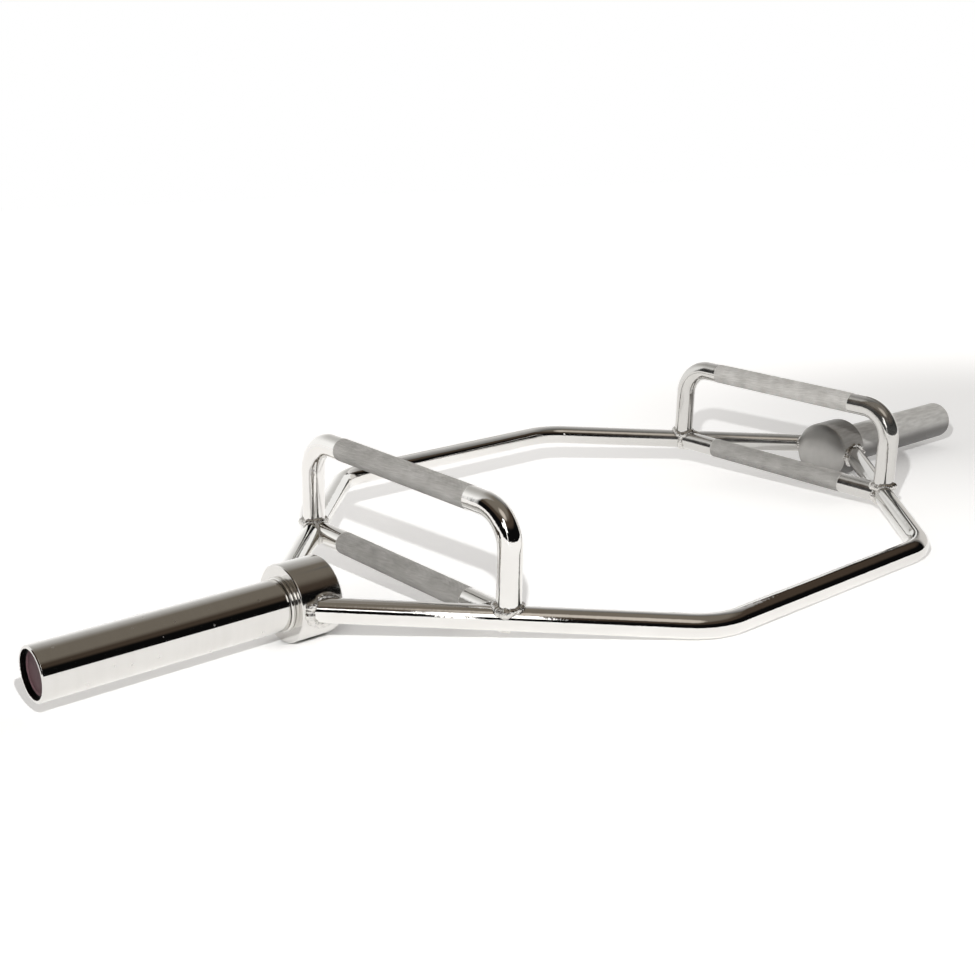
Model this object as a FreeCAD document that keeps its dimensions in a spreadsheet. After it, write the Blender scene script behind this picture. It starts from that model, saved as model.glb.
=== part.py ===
import FreeCAD, Part
import math
import os
import re
import Sketcher

# Hex trap bar: two bent round bars make a hexagon around the lifter and are welded to a hub at each end.
# Straight lower handles and raised handles bridge the slanted sides. A plate sleeve turns on a spindle
# outside each hub.
#
# X runs along the sleeves, Y to the rear and Z up. Every piece is drawn level, about the hubs' axis.
# The finished bar then lies as it does on a floor: on both hubs and on the front frame bar, so it is
# tilted a little about X and lifted by the hubs' radius.

# Driving dimensions in millimetres, and one angle in degrees.
SIZES = {
    # Hubs
    "hub_inner": 402,
    "hub_length": 48,
    "hub_diameter": 76,
    "hub_floor": 10,
    "hub_chamfer": 1.5,
    # Frame bars
    "bar_diameter": 24,
    "corner_reach": 294,
    "corner_angle": 45,
    "corner_radius": 66,
    # Handles
    "handle_setback": 96,
    "handle_raise": 102,
    "handle_bend_radius": 36,
    "lower_grip_length": 202,
    "raised_grip_length": 206,
    "grip_rise": 0.4,
    # Welds
    "weld_leg": 6,
    # Sleeves
    "sleeve_reach": 240,
    "sleeve_diameter": 50,
    "sleeve_wall": 4,
    "sleeve_chamfer": 1,
    "mouth_depth": 4,
    "mouth_step": 1,
    "cap_thickness": 3,
    # Spindles, bushes and what keeps the sleeves on
    "thrust_thickness": 4,
    "thrust_lip": 1.5,
    "spindle_diameter": 30,
    "spindle_tail": 5,
    "spindle_chamfer": 1,
    "bush_length": 32,
    "bush_clearance": 0.05,
    "bush_setback": 60,
    "side_gap": 0.3,
    "washer_thickness": 3,
    "washer_clearance": 1,
    "ring_thickness": 2,
    "ring_height": 3,
    "ring_gap": 6,
    "groove_depth": 1.5,
}

# Places and sizes that follow from the driving dimensions. Each may use the ones above it.
DERIVED = {
    "hub_face": "hub_inner + hub_length",
    "hub_radius": "hub_diameter / 2",
    "bar_radius": "bar_diameter / 2",
    # A slanted side's axis meets the hub's wall halfway along the hub, and the hubs' axis at the foot.
    "foot": "hub_inner + hub_length / 2 + hub_radius / tan(corner_angle)",
    "slant_length": "corner_reach / sin(corner_angle)",
    # The handles keep their distance from the hubs, and their ends lie on the slanted sides.
    "handle_half_span": "hub_inner - handle_setback",
    "post_offset": "(foot - handle_half_span) * tan(corner_angle)",
    "rest_tilt": "asin((hub_radius - bar_radius) / corner_reach)",
    "weld_diameter": "bar_diameter + 2 * weld_leg",
    "sleeve_radius": "sleeve_diameter / 2",
    "thrust_face": "hub_face + thrust_thickness",
    "sleeve_start": "thrust_face + side_gap",
    "sleeve_end": "hub_face + sleeve_reach",
    "bore_radius": "sleeve_radius - sleeve_wall",
    "mouth_radius": "bore_radius + mouth_step",
    "cap_face": "sleeve_end - mouth_depth",
    "cap_seat": "cap_face - cap_thickness",
    "spindle_radius": "spindle_diameter / 2",
    "bush_radius": "spindle_radius + bush_clearance",
    "bush_stop": "sleeve_end - bush_setback",
    "washer_start": "bush_stop + side_gap",
    "ring_start": "washer_start + washer_thickness",
    "ring_end": "ring_start + ring_thickness",
    "groove_radius": "spindle_radius - groove_depth",
    "ring_radius": "spindle_radius + ring_height",
    "spindle_end": "ring_end + spindle_tail",
}

ORIGIN = FreeCAD.Vector(0, 0, 0)
UP = FreeCAD.Vector(0, 0, 1)
# A sketch counts the points of a line or an arc from 1, and its own axes down from -1.
START, END, CENTRE = range(1, 4)
X_AXIS, Y_AXIS = range(-1, -3, -1)
SKETCH_ORIGIN = (X_AXIS, START)

doc = FreeCAD.newDocument("HexTrapBar")
sheet = doc.addObject("Spreadsheet::Sheet", "Sizes")
for row, (name, value) in enumerate(SIZES.items(), start=1):
    sheet.set(f"A{row}", name)
    sheet.set(f"B{row}", str(value))
    sheet.setAlias(f"B{row}", name)
doc.recompute()

subparts = []


def formula(text):
    """A formula in plain size names, written out in the sheet's cells."""

    def cell(match):
        word = match.group(0)
        if word in DERIVED:
            return f"({formula(DERIVED[word])})"
        return f"Sizes.{word}" if word in SIZES else word

    return re.sub(r"[a-z_]+", cell, text)


def size(text):
    """The number that a formula comes to, in millimetres or degrees."""
    result = sheet.evalExpression(formula(text))
    return float(getattr(result, "Value", result))


def bind(obj, prop, text):
    """Tie a property to a formula of the sheet's cells."""
    obj.setExpression(prop, formula(text))


def turned_about(axis, angle):
    """The words for a rotation about X, Y or Z."""
    x, y, z = (int(axis == letter) for letter in "XYZ")
    return f"rotation(vector({x}; {y}; {z}); {angle})"


def place(obj, rotation, x="0", y="0", z="0"):
    """Tie an object's place and direction to the sheet."""
    bind(obj, "Placement", f"placement(vector({x}; {y}; {z}); {rotation})")


def subpart(obj, label, half_turn):
    """Name a finished piece and lay it, as drawn or half a turn round Z, in its resting place."""
    turn = turned_about("X", "rest_tilt") + " * " + turned_about("Z", 180 if half_turn else 0)
    place(obj, turn, z="hub_radius")
    obj.Label = label
    subparts.append(obj)
    return obj


def common(base, tool):
    """What two objects share."""
    obj = doc.addObject("Part::Common", "Common")
    obj.Base = base
    obj.Tool = tool
    return obj


def cut(base, *tools):
    """An object less each of the tools, one after the other."""
    for tool in tools:
        obj = doc.addObject("Part::Cut", "Cut")
        obj.Base = base
        obj.Tool = tool
        base = obj
    return base


def fuse(shapes):
    """One solid from several objects."""
    obj = doc.addObject("Part::MultiFuse", "Fusion")
    obj.Shapes = shapes
    return obj


def rod(diameter, length, rotation, x="0", y="0", z="0"):
    """A round bar that starts at a point and runs the way that the rotation turns Z."""
    obj = doc.addObject("Part::Cylinder", "Rod")
    bind(obj, "Radius", f"({diameter}) / 2")
    bind(obj, "Height", length)
    place(obj, rotation, x, y, z)
    return obj


def sketch_on(body, role):
    """An empty sketch on one of the body's own origin planes."""
    sketch = body.newObject("Sketcher::SketchObject", "Sketch")
    plane = [feature for feature in body.Origin.OriginFeatures if feature.Role == role][0]
    sketch.AttachmentSupport = [(plane, "")]
    sketch.MapMode = "FlatFace"
    return sketch


def dimension(sketch, kind, *args):
    """Add a sized constraint. The last argument is its formula."""
    *geometry, text = args
    value = size(text)
    if kind == "Angle":
        value = math.radians(value)
        text = f"({text}) * 1 deg"
    index = sketch.addConstraint(Sketcher.Constraint(kind, *geometry, value))
    bind(sketch, f"Constraints[{index}]", text)


def turned(points):
    """A piece turned about X, from the corners of its outline as (place along X, radius) formulas."""
    body = doc.addObject("PartDesign::Body", "Turned")
    sketch = sketch_on(body, "XY_Plane")
    corners = [FreeCAD.Vector(size(along), size(radius), 0) for along, radius in points]
    count = len(corners)
    for index in range(count):
        sketch.addGeometry(Part.LineSegment(corners[index], corners[(index + 1) % count]), False)
    for index, (along, radius) in enumerate(points):
        before = (index - 1) % count
        sketch.addConstraint(Sketcher.Constraint("Coincident", before, END, index, START))
        dimension(sketch, "DistanceX", *SKETCH_ORIGIN, index, START, along)
        if radius == "0":
            sketch.addConstraint(Sketcher.Constraint("PointOnObject", index, START, X_AXIS))
        else:
            dimension(sketch, "DistanceY", *SKETCH_ORIGIN, index, START, radius)
    revolution = body.newObject("PartDesign::Revolution", "Revolution")
    revolution.Profile = sketch
    revolution.ReferenceAxis = (sketch, ["H_Axis"])
    revolution.Angle = 360
    return body


def ring(start, end, inner, outer):
    """The outline of a plain ring, or of a disc where its inner radius is 0."""
    return [(start, inner), (end, inner), (end, outer), (start, outer)]


def bent_bar(role, foot, reach, angle, radius):
    """A round bar bent at two corners: slant up from one foot, across at the reach, and down to the other."""
    body = doc.addObject("PartDesign::Body", "BentBar")
    path = sketch_on(body, role)
    far, top, turn, bend = size(foot), size(reach), math.radians(size(angle)), size(radius)
    corner = far - top / math.tan(turn)
    tangent = bend * math.tan(turn / 2)
    across = FreeCAD.Vector(corner - tangent, top, 0)
    slant = FreeCAD.Vector(corner + tangent * math.cos(turn), top - tangent * math.sin(turn), 0)
    centre = FreeCAD.Vector(across.x, top - bend, 0)

    def mirrored(point):
        return FreeCAD.Vector(-point.x, point.y, 0)

    quarter = math.pi / 2
    left_bend = Part.Circle(mirrored(centre), UP, bend)
    right_bend = Part.Circle(centre, UP, bend)
    path.addGeometry(Part.LineSegment(FreeCAD.Vector(-far, 0, 0), mirrored(slant)), False)
    path.addGeometry(Part.ArcOfCircle(left_bend, quarter, quarter + turn), False)
    path.addGeometry(Part.LineSegment(mirrored(across), across), False)
    path.addGeometry(Part.ArcOfCircle(right_bend, quarter - turn, quarter), False)
    path.addGeometry(Part.LineSegment(slant, FreeCAD.Vector(far, 0, 0)), False)
    joints = ((0, END, 1, END), (1, START, 2, START), (2, END, 3, END), (3, START, 4, START))
    for joint in joints:
        path.addConstraint(Sketcher.Constraint("Tangent", *joint))
    path.addConstraint(Sketcher.Constraint("Equal", 1, 3))
    path.addConstraint(Sketcher.Constraint("Symmetric", 0, START, 4, END, Y_AXIS))
    path.addConstraint(Sketcher.Constraint("Symmetric", 2, START, 2, END, Y_AXIS))
    path.addConstraint(Sketcher.Constraint("PointOnObject", 4, END, X_AXIS))
    dimension(path, "DistanceX", *SKETCH_ORIGIN, 4, END, foot)
    dimension(path, "DistanceY", *SKETCH_ORIGIN, 2, START, reach)
    dimension(path, "Angle", 0, angle)
    dimension(path, "Radius", 1, radius)
    doc.recompute()
    section = body.newObject("Sketcher::SketchObject", "Section")
    section.AttachmentSupport = [(path, "Edge1")]
    section.MapMode = "NormalToEdge"
    section.addGeometry(Part.Circle(ORIGIN, UP, size("bar_radius")), False)
    section.addConstraint(Sketcher.Constraint("Coincident", 0, CENTRE, *SKETCH_ORIGIN))
    dimension(section, "Diameter", 0, "bar_diameter")
    doc.recompute()
    pipe = body.newObject("PartDesign::AdditivePipe", "Pipe")
    pipe.Profile = section
    pipe.Spine = (path, [f"Edge{index + 1}" for index in range(5)])
    return body


ALONG_X = turned_about("Y", 90)
ALONG_Y = turned_about("X", -90)
ALONG_Z = turned_about("X", 0)


def along_slant(end):
    """The way that a slanted side leaves the right hub, to the rear (1) or to the front (-1)."""
    return turned_about("Z", f"180 - ({end}) * corner_angle") + " * " + ALONG_X


def slanted_side(diameter, end):
    """A straight round bar where a slanted side of the frame runs, from the hubs' axis to the corner."""
    return rod(diameter, "slant_length", along_slant(end), x="foot")


def hub_block(diameter):
    """A plain cylinder as long as the right hub."""
    return rod(diameter, "hub_length", ALONG_X, x="hub_inner")


def across_handle(diameter, trim="0"):
    """A straight round bar where the right lower handle runs, between the slanted sides' axes."""
    half = f"(post_offset - {trim})"
    return rod(diameter, f"2 * {half}", ALONG_Y, x="handle_half_span", y=f"-{half}")


def post(diameter, end):
    """A straight round bar where a post of the right raised handle stands, and a little below its foot."""
    beside = f"{end} * post_offset"
    return rod(diameter, "handle_raise / 2", ALONG_Z, "handle_half_span", beside, "-weld_leg / 2")


def crossing_bars(end):
    """The three bars that meet at a post's foot."""
    return post("bar_diameter", end), slanted_side("bar_diameter", end), across_handle("bar_diameter")


def grip(length, height):
    """The knurl in the middle of a handle, a little proud of the bar."""
    start = f"-{length} / 2"
    return rod("bar_diameter + 2 * grip_rise", length, ALONG_Y, "handle_half_span", start, height)


def make_frame_bar(label, half_turn):
    bar = bent_bar("XY_Plane", "foot", "corner_reach", "corner_angle", "corner_radius")
    past_end = "(foot + bar_diameter)"
    hub_line = rod("hub_diameter", f"2 * {past_end}", ALONG_X, x=f"-{past_end}")
    subpart(cut(bar, hub_line), label, half_turn)


def make_hub(label, half_turn):
    hub = turned([
        ("hub_inner", "0"),
        ("hub_inner", "hub_radius - hub_chamfer"),
        ("hub_inner + hub_chamfer", "hub_radius"),
        ("hub_face - hub_chamfer", "hub_radius"),
        ("hub_face", "hub_radius - hub_chamfer"),
        ("hub_face", "spindle_radius"),
        ("hub_inner + hub_floor", "spindle_radius"),
        ("hub_inner + hub_floor", "0"),
    ])
    subpart(hub, label, half_turn)


def make_lower_handle(label, half_turn):
    bar = fuse([across_handle("bar_diameter"), grip("lower_grip_length", "0")])
    sides = [slanted_side("bar_diameter", end) for end in (1, -1)]
    subpart(cut(bar, *sides), label, half_turn)


def make_raised_handle(label, half_turn):
    bar = bent_bar("YZ_Plane", "post_offset", "handle_raise", "90", "handle_bend_radius")
    place(bar, ALONG_Z, x="handle_half_span")
    whole = fuse([bar, grip("raised_grip_length", "handle_raise")])
    sides = [slanted_side("bar_diameter", end) for end in (1, -1)]
    subpart(cut(whole, *sides, across_handle("bar_diameter")), label, half_turn)


def hub_weld(end):
    """The bead round a slanted side where it meets the hub's wall."""
    collar = common(slanted_side("weld_diameter", end), hub_block("hub_diameter + 2 * weld_leg"))
    return cut(collar, slanted_side("bar_diameter", end), hub_block("hub_diameter"))


def handle_weld(end):
    """The bead round the lower handle's end, up to the post that stands on it."""
    collar = common(across_handle("weld_diameter", "weld_leg / 2"), slanted_side("weld_diameter", end))
    return cut(collar, *crossing_bars(end))


def post_weld(end):
    """The bead round a post's foot on the slanted side, up to the lower handle's bead."""
    collar = common(post("weld_diameter", end), slanted_side("weld_diameter", end))
    return cut(collar, *crossing_bars(end), handle_weld(end))


def make_welds(label, half_turn, weld):
    group = doc.addObject("Part::Compound", "Welds")
    group.Links = [weld(1), weld(-1)]
    subpart(group, label, half_turn)


def make_spindle(label, half_turn):
    spindle = turned([
        ("hub_inner + hub_floor", "0"),
        ("hub_inner + hub_floor", "spindle_radius"),
        ("ring_start", "spindle_radius"),
        ("ring_start", "groove_radius"),
        ("ring_end", "groove_radius"),
        ("ring_end", "spindle_radius"),
        ("spindle_end - spindle_chamfer", "spindle_radius"),
        ("spindle_end", "spindle_radius - spindle_chamfer"),
        ("spindle_end", "0"),
    ])
    subpart(spindle, label, half_turn)


def make_sleeve(label, half_turn):
    sleeve = turned([
        ("sleeve_start", "bore_radius"),
        ("sleeve_start", "sleeve_radius - sleeve_chamfer"),
        ("sleeve_start + sleeve_chamfer", "sleeve_radius"),
        ("sleeve_end - sleeve_chamfer", "sleeve_radius"),
        ("sleeve_end", "sleeve_radius - sleeve_chamfer"),
        ("sleeve_end", "mouth_radius"),
        ("cap_seat", "mouth_radius"),
        ("cap_seat", "bore_radius"),
    ])
    subpart(sleeve, label, half_turn)


def make_ring(label, half_turn, start, end, inner, outer):
    subpart(turned(ring(start, end, inner, outer)), label, half_turn)


def make_retaining_ring(label, half_turn):
    whole = turned(ring("ring_start", "ring_end", "groove_radius", "ring_radius"))
    slot = doc.addObject("Part::Box", "Slot")
    bind(slot, "Length", "ring_thickness")
    bind(slot, "Width", "ring_gap")
    bind(slot, "Height", "ring_radius")
    place(slot, ALONG_Z, "ring_start", "-ring_gap / 2")
    subpart(cut(whole, slot), label, half_turn)


make_frame_bar("rear_frame_bar", False)
make_frame_bar("front_frame_bar", True)
for side, half_turn in (("right", False), ("left", True)):
    make_hub(f"{side}_hub", half_turn)
    make_lower_handle(f"{side}_lower_handle", half_turn)
    make_raised_handle(f"{side}_raised_handle", half_turn)
    make_welds(f"{side}_hub_welds", half_turn, hub_weld)
    make_welds(f"{side}_handle_welds", half_turn, handle_weld)
    make_welds(f"{side}_post_welds", half_turn, post_weld)
    make_spindle(f"{side}_spindle", half_turn)
    make_sleeve(f"{side}_sleeve", half_turn)
    make_retaining_ring(f"{side}_retaining_ring", half_turn)
    # Name, start, end, inner radius and outer radius of each plain ring or disc
    rings = (
        ("thrust_washer", "hub_face", "thrust_face", "spindle_radius", "sleeve_radius + thrust_lip"),
        ("inner_bush", "sleeve_start", "sleeve_start + bush_length", "bush_radius", "bore_radius"),
        ("outer_bush", "bush_stop - bush_length", "bush_stop", "bush_radius", "bore_radius"),
        ("end_washer", "washer_start", "ring_start", "spindle_radius", "bore_radius - washer_clearance"),
        ("end_cap", "cap_seat", "cap_face", "0", "mouth_radius"),
    )
    for name, start, end, inner, outer in rings:
        make_ring(f"{side}_{name}", half_turn, start, end, inner, outer)

doc.recompute()

for obj in doc.Objects:
    if "Invalid" in obj.State or "Error" in obj.State:
        raise RuntimeError(f"{obj.Label} did not build: {obj.State}")
for obj in subparts:
    if obj.Shape.isNull() or not obj.Shape.isValid() or not obj.Shape.Solids:
        raise RuntimeError(f"{obj.Label} is not a sound solid")

os.makedirs("parts", exist_ok=True)
for obj in subparts:
    obj.Shape.exportStep(f"parts/{obj.Label}.step")
    print(f"{obj.Label}: {len(obj.Shape.Solids)} solids, {obj.Shape.Volume / 1000:.1f} cm3")
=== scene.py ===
# %% [markdown]
# A chrome hex trap bar.
# The bar is a welded frame of bent round bars, with a turned hub and a turning plate sleeve at each
# end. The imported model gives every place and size. Here each piece that shows is modelled again with
# enough faces for a mirror finish, and gets its plating, knurl or weld metal.

import math

import bmesh
import bpy
from mathutils import Matrix, Vector, noise


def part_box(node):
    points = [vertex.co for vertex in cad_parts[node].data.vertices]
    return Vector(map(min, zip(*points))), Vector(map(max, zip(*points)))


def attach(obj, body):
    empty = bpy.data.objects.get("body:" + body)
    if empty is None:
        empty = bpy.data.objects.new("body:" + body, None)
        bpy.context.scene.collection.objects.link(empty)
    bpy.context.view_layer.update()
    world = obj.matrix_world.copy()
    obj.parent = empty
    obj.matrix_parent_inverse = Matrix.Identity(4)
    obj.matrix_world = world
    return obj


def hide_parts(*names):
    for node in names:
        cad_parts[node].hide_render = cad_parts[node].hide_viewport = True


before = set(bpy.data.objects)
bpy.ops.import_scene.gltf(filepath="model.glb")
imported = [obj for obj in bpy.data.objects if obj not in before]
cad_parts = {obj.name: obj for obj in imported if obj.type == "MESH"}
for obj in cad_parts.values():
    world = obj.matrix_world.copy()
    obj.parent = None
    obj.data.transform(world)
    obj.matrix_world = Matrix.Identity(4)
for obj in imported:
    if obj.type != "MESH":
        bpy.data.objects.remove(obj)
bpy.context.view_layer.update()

# %% [markdown]
# The bar lies on both hubs and on its front frame bar, so the hexagon leans forward a little. Each
# piece could be drawn leaning, but drawn level its straight runs follow the axes. So every piece is
# drawn about the hubs' axis, and one matrix then lays it on the floor. Lengths come from the nodes'
# flat ends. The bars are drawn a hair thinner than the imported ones, so that no facet stands out of
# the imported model.

# %% Measures of the bar
packed_bar_radius = 0.012
bar_radius = 0.01195
hub_radius = 0.038
sleeve_radius = 0.025
spindle_radius = 0.015
corner_reach = 0.294
corner_radius = 0.066
corner_angle = math.radians(45)
handle_raise = 0.102
handle_bend_radius = 0.036

hub_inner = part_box("right_hub")[0].x
hub_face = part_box("right_hub")[1].x
handle_half_span = sum(corner.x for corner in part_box("right_lower_handle")) / 2
foot = (hub_inner + hub_face) / 2 + hub_radius / math.tan(corner_angle)
post_offset = (foot - handle_half_span) * math.tan(corner_angle)
rest_tilt = math.asin((hub_radius - packed_bar_radius) / corner_reach)

lay = Matrix.Translation((0, 0, hub_radius)) @ Matrix.Rotation(rest_tilt, 4, "X")
half_turn = Matrix.Rotation(math.pi, 4, "Z")
print(f"hub {hub_inner:.3f} to {hub_face:.3f}")
print(f"handles at {handle_half_span:.3f}, posts at {post_offset:.3f}")

# %% [markdown]
# The camera stands low beside the near sleeve and looks along the bar. Its place, the point it looks
# at and a slight roll were read from the edges in the photograph. A look-at matrix is clearer than
# three angles, because the two points are places in the scene.

# %% Camera
camera_place = Vector((-1.0549, -1.0084, 0.4225))
camera_aim = Vector((-0.1690, 0.0244, 0.0931))
camera_roll = math.radians(-2.353)
camera_lens = 48.1


def link(thing):
    bpy.context.scene.collection.objects.link(thing)
    return thing


camera_data = bpy.data.cameras.new("camera")
camera_data.lens = camera_lens
camera = link(bpy.data.objects.new("camera", camera_data))
look = (camera_aim - camera_place).to_track_quat("-Z", "Y").to_matrix().to_4x4()
camera.matrix_world = Matrix.Translation(camera_place) @ look @ Matrix.Rotation(camera_roll, 4, "Z")
bpy.context.scene.camera = camera
print("camera looks along", [round(v, 3) for v in (camera_aim - camera_place).normalized()])

# %% [markdown]
# A finish is a material, and its patterns are sums of noises. Wiring each Math node by hand hides the
# sum, so a small class wraps a socket: writing 0.04 + 0.1 * noise adds the nodes. One method adds any
# other node: its settings first, then the values or links of its sockets. Noise seldom leaves the
# range from low to high given here, so a mask is stretched over that range.

# %% Shader arithmetic
MIX_FACTOR, MIX_A, MIX_B, MIX_RESULT = 0, 6, 7, 2
NOISE_LOW = 0.3
NOISE_HIGH = 0.7


class Flow:
    """A socket that can be added, subtracted and multiplied like a number."""

    def __init__(self, finish, socket):
        self.finish = finish
        self.socket = socket

    def calculate(self, operation, *values):
        return self.finish.add("Math", {"operation": operation}, dict(enumerate(values)))

    def __add__(self, other):
        return self.calculate("ADD", self, other)

    def __radd__(self, other):
        return self.calculate("ADD", other, self)

    def __sub__(self, other):
        return self.calculate("SUBTRACT", self, other)

    def __rsub__(self, other):
        return self.calculate("SUBTRACT", other, self)

    def __mul__(self, other):
        return self.calculate("MULTIPLY", self, other)

    def __rmul__(self, other):
        return self.calculate("MULTIPLY", other, self)


class Finish:
    """A new material, its shader and the nodes that feed it."""

    def __init__(self, name, tree=None):
        self.material = None if tree else bpy.data.materials.new(name)
        if self.material:
            self.material.use_nodes = True
            tree = self.material.node_tree
        self.tree = tree
        self.shader = tree.nodes.get("Principled BSDF")

    def feed(self, node, values):
        """Set or link sockets by name or number."""
        for name, value in values.items():
            if isinstance(value, Flow):
                self.tree.links.new(value.socket, node.inputs[name])
            else:
                node.inputs[name].default_value = value

    def add(self, kind, settings=None, values=None, output=0):
        """Add a node: its settings first, then its sockets."""
        node = self.tree.nodes.new("ShaderNode" + kind)
        for name, value in (settings or {}).items():
            setattr(node, name, value)
        self.feed(node, values or {})
        return Flow(self, node.outputs[output])

    def place(self):
        """Where a point of the piece is, in metres."""
        return self.add("TexCoord", output="Object")

    def stretched(self, factors):
        """The place again, with each measure times its factor. A small factor draws grains out."""
        return self.add("VectorMath", {"operation": "MULTIPLY"}, {0: self.place(), 1: factors})

    def part(self, vector, axis):
        """One of the three numbers of a vector."""
        return self.add("SeparateXYZ", values={"Vector": vector}, output=axis)

    def grain(self, scale, detail=2.0, vector=None):
        """Soft noise from 0 to 1, so many grains to the metre."""
        values = {"Vector": vector or self.place(), "Scale": scale, "Detail": detail}
        return self.add("TexNoise", {}, values)

    def lines(self, along, scale, detail=3.0):
        """Noise that changes along one measure only, as turning marks do."""
        settings = {"noise_dimensions": "1D"}
        return self.add("TexNoise", settings, {"W": along, "Scale": scale, "Detail": detail})

    def span(self, value, low, high, start=0.0, end=1.0):
        """Map one range of a value smoothly onto another."""
        settings = {"interpolation_type": "SMOOTHSTEP"}
        values = {"Value": value, "From Min": low, "From Max": high, "To Min": start, "To Max": end}
        return self.add("MapRange", settings, values)

    def tint(self, amount, first, second):
        """One colour where the amount is 0 and another where it is 1."""
        values = {MIX_FACTOR: amount, MIX_A: first, MIX_B: second}
        return self.add("Mix", {"data_type": "RGBA"}, values, MIX_RESULT)

    def relief(self, height, depth):
        """A bump of that depth in metres."""
        return self.add("Bump", {}, {"Strength": 1.0, "Distance": depth, "Height": height})

    def metal(self, colour, roughness, normal):
        """A bare metal surface."""
        values = {"Metallic": 1.0, "Base Color": colour, "Roughness": roughness, "Normal": normal}
        self.feed(self.shader, values)
        return self.material


print("shader arithmetic ready")

# %% [markdown]
# Chrome plating is a mirror, but a bar that was bent, ground and polished by hand is never quite
# even. A mirror with one roughness looks like glass, so the chrome has three scales of wear: a faint
# tone that changes every few centimetres, polishing marks, and a shallow waviness that makes
# reflections wander. Toward the far end the chrome is painted darker, as shade, and past the corners
# patches of dust lie on it.

# %% Polished chrome for bars and handles
chrome_pale = (0.90, 0.89, 0.87, 1)
chrome_dull = (0.80, 0.785, 0.76, 1)
chrome_far_shade = (0.60, 0.59, 0.57, 1)
far_shade_start = -0.05
far_shade_end = 0.40
dust_start = 0.17
dust_end = 0.36
dust_cover = 0.12
least_patch = 0.4
tone_grain = 26
mark_grain = 700
patch_grain = 75
wave_grain = 90
ripple_grain = 420
ripple_share = 0.25
wave_depth = 0.00012
chrome_roughness = 0.025
mark_roughness = 0.05
dust_roughness = 0.05


def polished_chrome():
    finish = Finish("polished_chrome")
    tone = finish.grain(tone_grain)
    marks = finish.grain(mark_grain, detail=3.0)
    along_bar = finish.part(finish.place(), "X")
    # Painted shade: the colour darkens toward the far end.
    tint_mask = finish.span(along_bar, far_shade_start, far_shade_end)
    clouds = finish.grain(patch_grain, detail=4.0)
    patches = finish.span(clouds, NOISE_LOW, NOISE_HIGH, least_patch, 1.0)
    dust = finish.span(along_bar, dust_start, dust_end) * patches
    colour = finish.tint(tint_mask, finish.tint(tone, chrome_dull, chrome_pale), chrome_far_shade)
    roughness = chrome_roughness + mark_roughness * marks + dust_roughness * dust
    waves = finish.grain(wave_grain) + ripple_share * finish.grain(ripple_grain)
    finish.metal(colour, roughness, finish.relief(waves, wave_depth))
    finish.feed(finish.shader, {"Metallic": 1.0 - dust_cover * dust})
    return finish.material


bar_chrome = polished_chrome()
print("finish:", bar_chrome.name)

# %% [markdown]
# Hubs, sleeves and thrust washers are turned on a lathe before plating. The tool leaves fine rings
# round the axis, which smear a reflection along it. The rings are noise that depends on the place
# along X only. Sleeves also carry small nicks where plates have knocked them, a sparse mask of round
# cells. The far sleeve and hub lie under a thicker film of dust and oil, which dulls them, and their
# undersides are painted darker and less metallic, as shade.

# %% Turned chrome for hubs, sleeves and washers
turned_pale = (0.80, 0.79, 0.77, 1)
turned_dull = (0.69, 0.675, 0.65, 1)
ring_grain = 900
band_grain = 110
cloud_grain = 30
cloud_share = 0.6
ground_grain = 120
ground_share = 0.6
nick_cells = 75.0
nick_core = 0.6
nick_depth = 3.0
nick_roughness = 0.3
band_roughness = 0.05


def turned_chrome(name, ring_depth, nick_share, gloss):
    finish = Finish(name)
    along = finish.part(finish.place(), "X")
    rings = finish.lines(along, ring_grain)
    bands = finish.lines(along, band_grain)
    cells = finish.add("TexVoronoi", {}, {"Vector": finish.place(), "Scale": nick_cells}, "Distance")
    nick = finish.span(cells, nick_share, nick_core * nick_share)
    tone = cloud_share * finish.grain(cloud_grain) + (1 - cloud_share) * bands
    colour = finish.tint(tone, turned_dull, turned_pale)
    roughness = gloss + band_roughness * bands + nick_roughness * nick
    height = rings + ground_share * finish.grain(ground_grain) - nick_depth * nick
    return finish.metal(colour, roughness, finish.relief(height, ring_depth))


film_stretch = (0.2, 1.0, 1.0)
film_grain = 260
smear_grain = 420
film_depth = 0.00004
film_roughness = 0.34
smear_roughness = 0.16
bare_shine = 0.4
film_cover = 0.2


def filmed_chrome(name, shade_heights, shade_and_film_tones):
    finish = Finish(name)
    painted_under_shade, dark, pale = shade_and_film_tones
    tint_mask = finish.grain(film_grain, detail=5.0, vector=finish.stretched(film_stretch))
    smears = finish.grain(smear_grain, detail=3.0)
    # Painted shade: below these heights the colour turns to the dark under tone and the metal less
    # metallic.
    above_painted_shade = finish.span(finish.part(finish.place(), "Z"), *shade_heights)
    colour = finish.tint(above_painted_shade, painted_under_shade, finish.tint(tint_mask, dark, pale))
    roughness = film_roughness + smear_roughness * smears
    finish.metal(colour, roughness, finish.relief(tint_mask + smears, film_depth))
    finish.feed(finish.shader, {"Metallic": (bare_shine - film_cover * tint_mask) * above_painted_shade})
    return finish.material


hub_chrome = turned_chrome("hub_chrome", 0.00001, 0.0, 0.09)
washer_chrome = turned_chrome("washer_chrome", 0.00001, 0.0, 0.04)
sleeve_chrome = turned_chrome("sleeve_chrome", 0.000012, 0.11, 0.04)
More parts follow.
